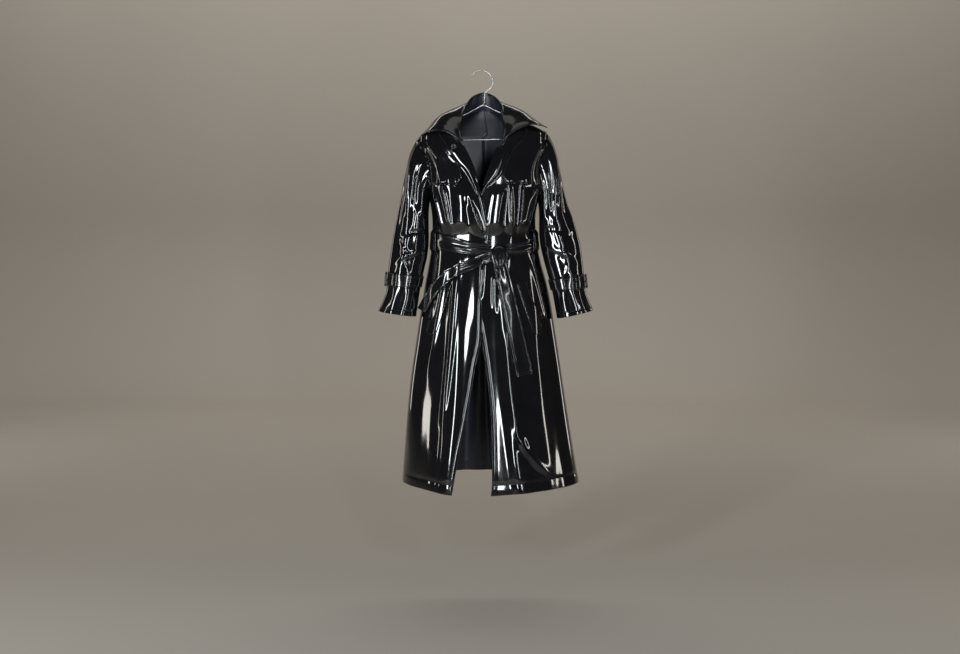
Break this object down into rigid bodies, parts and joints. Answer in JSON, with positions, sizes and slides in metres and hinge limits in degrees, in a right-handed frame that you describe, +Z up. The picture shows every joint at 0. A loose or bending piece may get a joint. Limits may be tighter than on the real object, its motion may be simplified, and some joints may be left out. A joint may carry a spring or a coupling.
{
  "type": "raincoat on a wire hanger",
  "caption": "Long belted raincoat of glossy coated cloth, open below its tied belt, hanging on a thin wire clothes hanger.",
  "frame": {"origin": "top of the inside of the hanger's hook, where a rail carries it", "axes": "+Z up, the coat's front faces -Y, the wearer's left is at +X"},
  "size_m": [0.663, 0.3549, 1.286],
  "materials": {
    "coated_cloth": "high gloss coated black cloth with a dull navy inside",
    "trim": "polished black",
    "wire": "plated bright wire"
  },
  "bodies": {
    "root": {"back_right": "coated_cloth", "back_left": "coated_cloth", "front_right": "coated_cloth", "front_left": "coated_cloth", "storm_flap_right": "coated_cloth", "storm_flap_left": "coated_cloth", "sleeve_right": "coated_cloth", "sleeve_left": "coated_cloth", "cuff_strap_right": "coated_cloth", "cuff_strap_left": "coated_cloth", "cuff_loop_right_1": "coated_cloth", "cuff_loop_right_2": "coated_cloth", "cuff_loop_right_3": "coated_cloth", "cuff_loop_left_1": "coated_cloth", "cuff_loop_left_2": "coated_cloth", "cuff_loop_left_3": "coated_cloth", "cuff_buckle_right": "trim", "cuff_buckle_left": "trim", "collar_leaf": "coated_cloth", "collar_stand": "coated_cloth", "lapel_right": "coated_cloth", "lapel_left": "coated_cloth", "pocket_welt_right": "coated_cloth", "pocket_welt_left": "coated_cloth", "belt": "coated_cloth", "belt_tail_short": "coated_cloth", "belt_tail_long": "coated_cloth", "belt_knot": "coated_cloth", "belt_carrier_right": "coated_cloth", "belt_carrier_left": "coated_cloth", "neck_button": "trim", "hanger_hook": "wire", "hanger_frame": "wire", "hanger_twist": "wire"}
  },
  "joints": []
}
